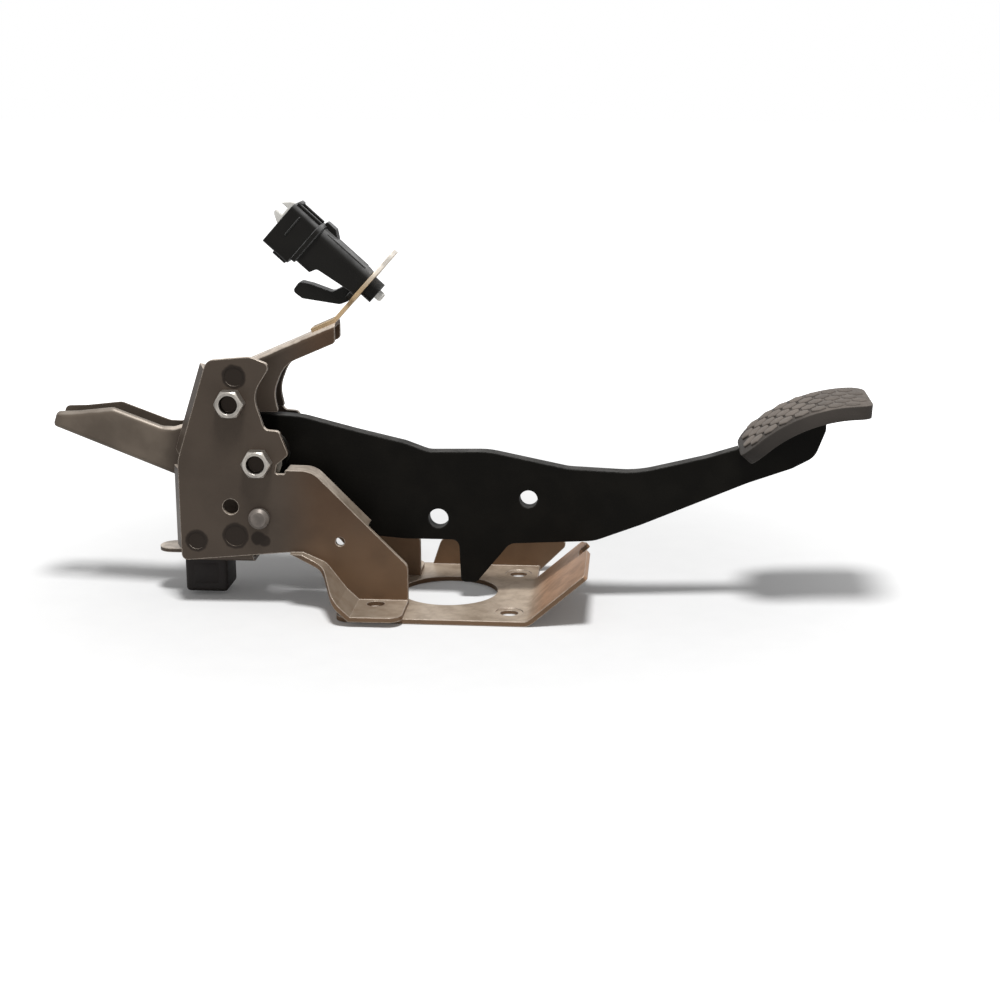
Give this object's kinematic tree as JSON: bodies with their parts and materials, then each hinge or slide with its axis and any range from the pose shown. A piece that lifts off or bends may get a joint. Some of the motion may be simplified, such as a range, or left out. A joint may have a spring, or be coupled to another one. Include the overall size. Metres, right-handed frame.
{
  "type": "brake pedal",
  "caption": "Hanging car brake pedal: a plate arm with a studded rubber pad, pivoting in a pressed steel firewall bracket that also carries a stop-lamp switch and a brace.",
  "frame": {"origin": "centre of the rectangle of firewall holes, on the underside of the base plate", "axes": "+X along the pedal towards its pad, +Y towards the right side plate, +Z away from the firewall"},
  "size_m": [0.4105, 0.106, 0.2007],
  "materials": {
    "bracket_steel": "bare brown-grey pressed steel, lightly worn",
    "tab_steel": "passivated sheet, slightly golden",
    "fastener_steel": "zinc-coated, dulled",
    "arm_paint": "satin black dip paint",
    "bush_plastic": "natural acetal",
    "pad_rubber": "worn black rubber, greyed on the studs",
    "buffer_rubber": "black moulded rubber",
    "switch_plastic": "black glass-filled moulding",
    "lock_plastic": "natural white nylon",
    "terminal_brass": "tinned brass"
  },
  "bodies": {
    "bracket": {"base_plate": "bracket_steel", "left_side_plate": "bracket_steel", "right_side_plate": "bracket_steel", "cross_web": "bracket_steel", "column_brace": "bracket_steel", "switch_bracket": "bracket_steel", "buffer_plate": "bracket_steel", "switch_tab": "tab_steel", "pivot_bolt": "fastener_steel", "pivot_nut": "fastener_steel", "pivot_sleeve": "fastener_steel", "clamp_bolt": "fastener_steel", "clamp_nut": "fastener_steel", "clamp_spacers": "fastener_steel", "stop_pin": "fastener_steel", "rubber_buffer": "buffer_rubber", "switch_body": "switch_plastic", "switch_cap": "switch_plastic", "switch_lock": "switch_plastic", "connector_lock": "lock_plastic", "switch_terminals": "terminal_brass"},
    "pedal": {"pedal_arm": "arm_paint", "pivot_tube": "arm_paint", "left_bush": "bush_plastic", "right_bush": "bush_plastic", "pad_plate": "arm_paint", "pedal_pad": "pad_rubber"},
    "plunger": {"switch_plunger": "lock_plastic"}
  },
  "joints": [
    {"name": "pedal_pivot", "type": "hinge", "parent": "bracket", "child": "pedal", "pos_m": [-0.0925, 0, 0.075], "axis": [0, -1, 0], "range_deg": [0, 51]},
    {"name": "switch_plunger_slide", "type": "slide", "parent": "bracket", "child": "plunger", "axis": [-0.7431, 0, 0.6691], "range_m": [0, 0.005], "stiffness_N_per_m": 300, "springref_m": -0.003}
  ]
}
